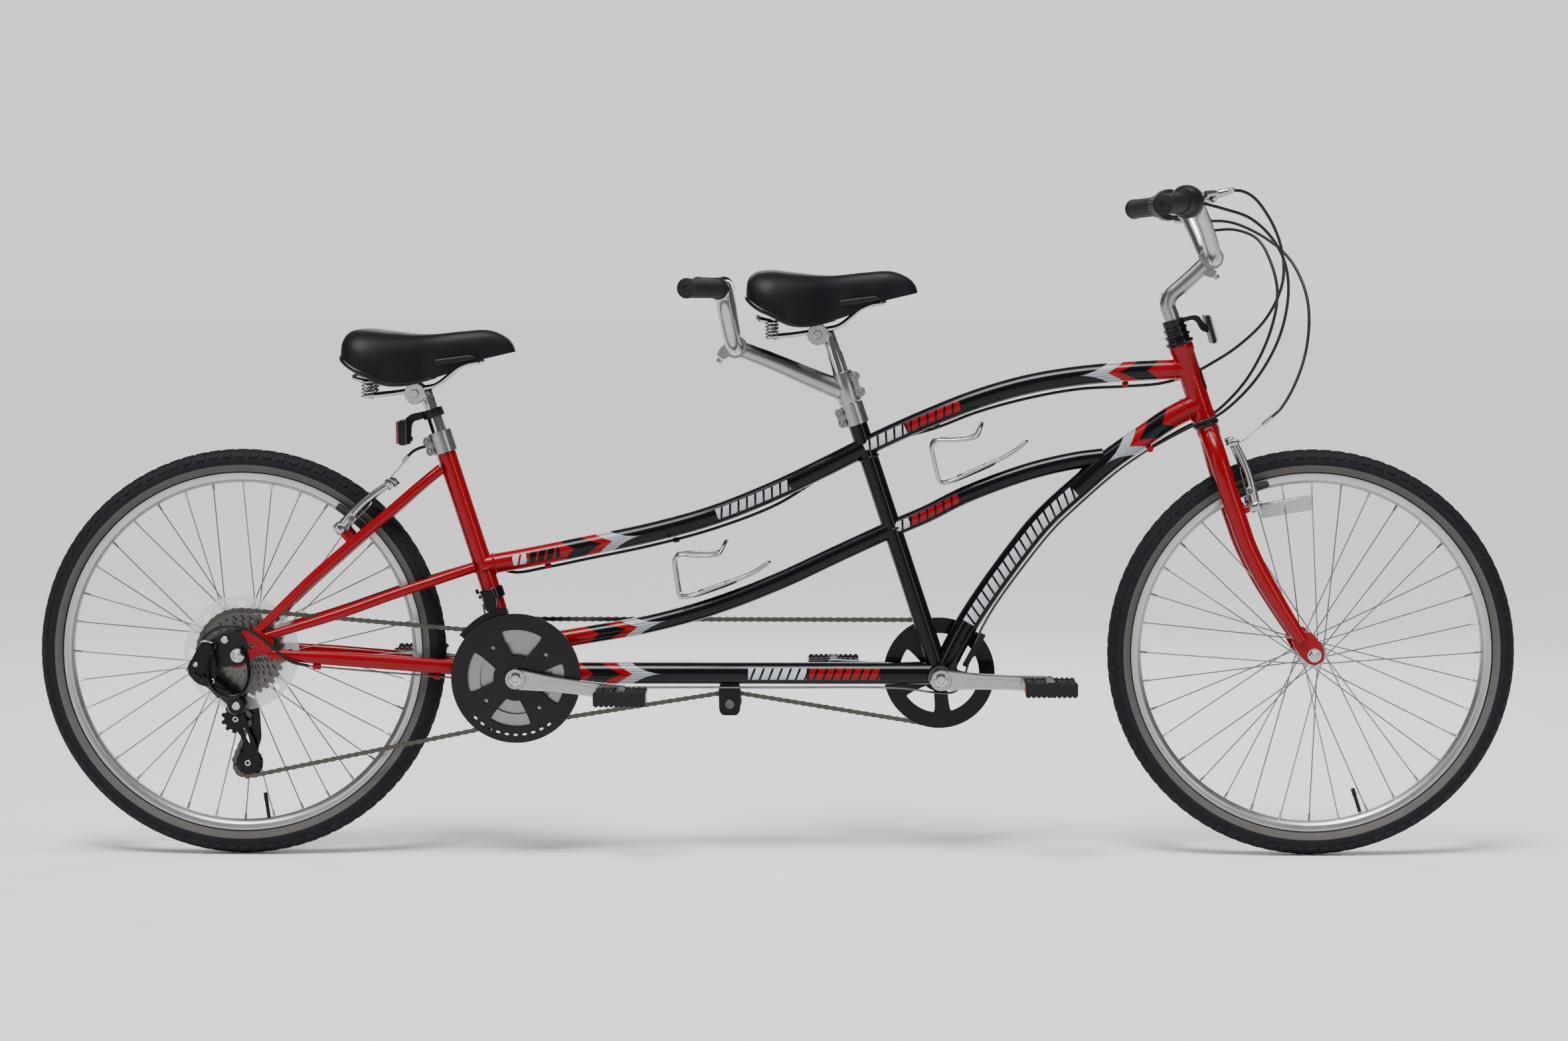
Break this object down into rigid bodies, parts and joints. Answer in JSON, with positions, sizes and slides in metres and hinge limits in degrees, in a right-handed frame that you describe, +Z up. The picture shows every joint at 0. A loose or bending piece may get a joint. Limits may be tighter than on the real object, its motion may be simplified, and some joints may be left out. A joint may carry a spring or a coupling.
{
  "type": "tandem bicycle",
  "caption": "Tandem bicycle for two riders with spoked wheels, rim brakes, sprung saddles, linked crank sets, timing chain, derailleur gears and swept handlebars.",
  "frame": {"origin": "on the ground, halfway between the two axles and on the mid-plane of the frame", "axes": "+X forwards, +Y to the riders' left, +Z up"},
  "size_m": [2.354, 0.6204, 1.0649],
  "materials": {
    "red_paint": "gloss red enamel fading into black panels",
    "silver": "satin silver",
    "rim_silver": "brushed silver",
    "chrome": "bright plated",
    "dark_steel": "oiled steel",
    "black_plastic": "moulded, slightly glossy",
    "black_metal": "gloss black",
    "saddle_vinyl": "smooth vinyl",
    "grip_rubber": "matte",
    "tyre_rubber": "matte",
    "cable_sheath": "gloss sheath"
  },
  "bodies": {
    "frame": {"frame": "red_paint", "rear_axle": "chrome", "rear_seat_clamp": "silver", "front_seat_clamp": "silver", "front_bottle_cage": "silver", "rear_bottle_cage": "silver", "drive_chain": "dark_steel", "timing_chain": "dark_steel", "front_derailleur_clamp": "black_metal", "rear_brake_cable": "cable_sheath", "rear_shift_cable": "cable_sheath", "front_shift_cable": "cable_sheath"},
    "steering": {"fork": "red_paint", "front_axle": "chrome", "stem": "silver", "handlebar": "silver", "right_grip": "grip_rubber", "left_grip": "grip_rubber", "right_lever_perch": "silver", "left_lever_perch": "silver", "front_reflector": "black_plastic", "front_brake_cable": "cable_sheath"},
    "right_lever": {"right_brake_lever": "silver"},
    "left_lever": {"left_brake_lever": "silver"},
    "right_shifter": {"right_twist_shifter": "black_plastic"},
    "left_shifter": {"left_twist_shifter": "black_plastic"},
    "front_brake_left": {"front_brake_arm_left": "silver"},
    "front_brake_right": {"front_brake_arm_right": "silver"},
    "rear_brake_left": {"rear_brake_arm_left": "silver"},
    "rear_brake_right": {"rear_brake_arm_right": "silver"},
    "front_wheel": {"front_wheel": "rim_silver", "front_tyre": "tyre_rubber"},
    "rear_wheel": {"rear_wheel": "rim_silver", "rear_tyre": "tyre_rubber"},
    "cassette": {"cassette": "dark_steel"},
    "stoker_cranks": {"stoker_crank_right": "silver", "stoker_crank_left": "silver", "stoker_chainrings": "silver", "chain_guard": "black_plastic"},
    "captain_cranks": {"captain_crank_right": "silver", "captain_crank_left": "silver"},
    "stoker_pedal_right": {"stoker_pedal_right": "black_plastic"},
    "stoker_pedal_left": {"stoker_pedal_left": "black_plastic"},
    "captain_pedal_right": {"captain_pedal_right": "black_plastic"},
    "captain_pedal_left": {"captain_pedal_left": "black_plastic"},
    "idler": {"timing_idler": "black_plastic"},
    "rear_derailleur": {"derailleur_body": "black_metal"},
    "derailleur_cage": {"derailleur_cage": "black_metal"},
    "guide_pulley": {"guide_pulley": "black_plastic"},
    "tension_pulley": {"tension_pulley": "black_plastic"},
    "front_derailleur": {"front_derailleur_cage": "black_metal"},
    "rear_seat": {"rear_seatpost": "chrome", "rear_saddle": "saddle_vinyl", "rear_saddle_rails": "chrome", "rear_reflector": "black_plastic"},
    "front_seat": {"front_seatpost": "chrome", "front_saddle": "saddle_vinyl", "front_saddle_rails": "chrome", "stoker_stem": "silver", "stoker_handlebar": "silver"}
  },
  "joints": [
    {"name": "steer", "type": "hinge", "parent": "frame", "child": "steering", "pos_m": [0.642, 0, 0.815], "axis": [-0.3116, 0, 0.9502], "range_deg": [-45, 45], "deforming": ["rear_brake_cable", "rear_shift_cable", "front_shift_cable"]},
    {"name": "front_wheel_spin", "type": "hinge", "parent": "steering", "child": "front_wheel", "pos_m": [0.852, 0, 0.325], "axis": [0, 1, 0], "continuous": true},
    {"name": "rear_wheel_spin", "type": "hinge", "parent": "frame", "child": "rear_wheel", "pos_m": [-0.852, 0, 0.325], "axis": [0, 1, 0], "continuous": true},
    {"name": "stoker_cranks_turn", "type": "hinge", "parent": "frame", "child": "stoker_cranks", "pos_m": [-0.412, 0, 0.288], "axis": [0, 1, 0], "continuous": true, "deforming": ["drive_chain"]},
    {"name": "captain_cranks_turn", "type": "hinge", "parent": "frame", "child": "captain_cranks", "pos_m": [0.261, 0, 0.287], "axis": [0, 1, 0], "continuous": true},
    {"name": "cassette_turn", "type": "hinge", "parent": "frame", "child": "cassette", "pos_m": [-0.852, 0, 0.325], "axis": [0, 1, 0], "continuous": true},
    {"name": "idler_turn", "type": "hinge", "parent": "frame", "child": "idler", "pos_m": [-0.075, 0, 0.241], "axis": [0, 1, 0], "continuous": true},
    {"name": "guide_pulley_turn", "type": "hinge", "parent": "derailleur_cage", "child": "guide_pulley", "pos_m": [-0.861, -0.033, 0.22], "axis": [0, 1, 0], "continuous": true},
    {"name": "tension_pulley_turn", "type": "hinge", "parent": "derailleur_cage", "child": "tension_pulley", "pos_m": [-0.842, -0.033, 0.15], "axis": [0, 1, 0], "continuous": true},
    {"name": "stoker_pedal_right_spin", "type": "hinge", "parent": "stoker_cranks", "child": "stoker_pedal_right", "pos_m": [-0.24345, -0.13, 0.26581], "axis": [0, 1, 0], "continuous": true},
    {"name": "stoker_pedal_left_spin", "type": "hinge", "parent": "stoker_cranks", "child": "stoker_pedal_left", "pos_m": [-0.58055, 0.13, 0.31019], "axis": [0, 1, 0], "continuous": true},
    {"name": "captain_pedal_right_spin", "type": "hinge", "parent": "captain_cranks", "child": "captain_pedal_right", "pos_m": [0.4309, -0.13, 0.28107], "axis": [0, 1, 0], "continuous": true},
    {"name": "captain_pedal_left_spin", "type": "hinge", "parent": "captain_cranks", "child": "captain_pedal_left", "pos_m": [0.0911, 0.13, 0.29293], "axis": [0, 1, 0], "continuous": true},
    {"name": "right_brake_lever_pull", "type": "hinge", "parent": "steering", "child": "right_lever", "pos_m": [0.677, -0.182, 1.0505], "axis": [-0.2559, 0.0567, 0.965], "range_deg": [-18, 0], "stiffness_Nm_per_rad": 0.3},
    {"name": "left_brake_lever_pull", "type": "hinge", "parent": "steering", "child": "left_lever", "pos_m": [0.6765, 0.181, 1.0225], "axis": [0.3807, 0.1873, 0.9055], "range_deg": [0, 18], "stiffness_Nm_per_rad": 0.3},
    {"name": "rear_brake_arm_right_swing", "type": "hinge", "parent": "frame", "child": "rear_brake_right", "pos_m": [-0.6933, -0.04, 0.5245], "axis": [-0.6559, 0, 0.7549], "range_deg": [-3, 3], "stiffness_Nm_per_rad": 1},
    {"name": "rear_brake_arm_left_swing", "type": "hinge", "parent": "frame", "child": "rear_brake_left", "pos_m": [-0.6933, 0.04, 0.5245], "axis": [-0.6559, 0, 0.7549], "range_deg": [-3, 3], "stiffness_Nm_per_rad": 1},
    {"name": "front_brake_arm_right_swing", "type": "hinge", "parent": "steering", "child": "front_brake_right", "pos_m": [0.7577, -0.04, 0.5603], "axis": [0.945, 0, 0.327], "range_deg": [-3, 3], "stiffness_Nm_per_rad": 1},
    {"name": "front_brake_arm_left_swing", "type": "hinge", "parent": "steering", "child": "front_brake_left", "pos_m": [0.7577, 0.04, 0.5603], "axis": [0.945, 0, 0.327], "range_deg": [-3, 3], "stiffness_Nm_per_rad": 1},
    {"name": "right_shifter_turn", "type": "hinge", "parent": "steering", "child": "right_shifter", "pos_m": [0.6345, -0.1851, 1.0392], "axis": [-0.3609, -0.9317, -0.041], "range_deg": [0, 60]},
    {"name": "left_shifter_turn", "type": "hinge", "parent": "steering", "child": "left_shifter", "pos_m": [0.6345, 0.1851, 1.0392], "axis": [-0.3609, 0.9317, -0.041], "range_deg": [-30, 30]},
    {"name": "rear_derailleur_swing", "type": "hinge", "parent": "frame", "child": "rear_derailleur", "pos_m": [-0.897, -0.083, 0.349], "axis": [1, 0, 0], "range_deg": [-8, 0]},
    {"name": "derailleur_cage_swing", "type": "hinge", "parent": "rear_derailleur", "child": "derailleur_cage", "pos_m": [-0.861, -0.033, 0.22], "axis": [0, 1, 0], "range_deg": [-6, 6], "stiffness_Nm_per_rad": 0.5, "deforming": ["drive_chain"]},
    {"name": "front_derailleur_swing", "type": "hinge", "parent": "frame", "child": "front_derailleur", "pos_m": [-0.456, -0.034, 0.42], "axis": [1, 0, 0], "range_deg": [-1.5, 1.5]},
    {"name": "rear_seatpost_height", "type": "slide", "parent": "frame", "child": "rear_seat", "axis": [-0.3078, 0, 0.9514], "range_m": [-0.012, 0.05]},
    {"name": "front_seatpost_height", "type": "slide", "parent": "frame", "child": "front_seat", "axis": [-0.3142, 0, 0.9494], "range_m": [0, 0.05]}
  ],
  "couplings": [
    {"joint": "captain_cranks_turn", "follows": "stoker_cranks_turn", "ratio": 1},
    {"joint": "cassette_turn", "follows": "stoker_cranks_turn", "ratio": 1},
    {"joint": "idler_turn", "follows": "stoker_cranks_turn", "ratio": -6},
    {"joint": "guide_pulley_turn", "follows": "stoker_cranks_turn", "ratio": -3.0909},
    {"joint": "tension_pulley_turn", "follows": "stoker_cranks_turn", "ratio": 3.0909},
    {"joint": "rear_brake_arm_right_swing", "follows": "right_brake_lever_pull", "ratio": -0.14},
    {"joint": "rear_brake_arm_left_swing", "follows": "right_brake_lever_pull", "ratio": 0.14},
    {"joint": "front_brake_arm_right_swing", "follows": "left_brake_lever_pull", "ratio": -0.14},
    {"joint": "front_brake_arm_left_swing", "follows": "left_brake_lever_pull", "ratio": 0.14},
    {"joint": "rear_derailleur_swing", "follows": "right_shifter_turn", "ratio": -0.12},
    {"joint": "front_derailleur_swing", "follows": "left_shifter_turn", "ratio": 0.04}
  ]
}
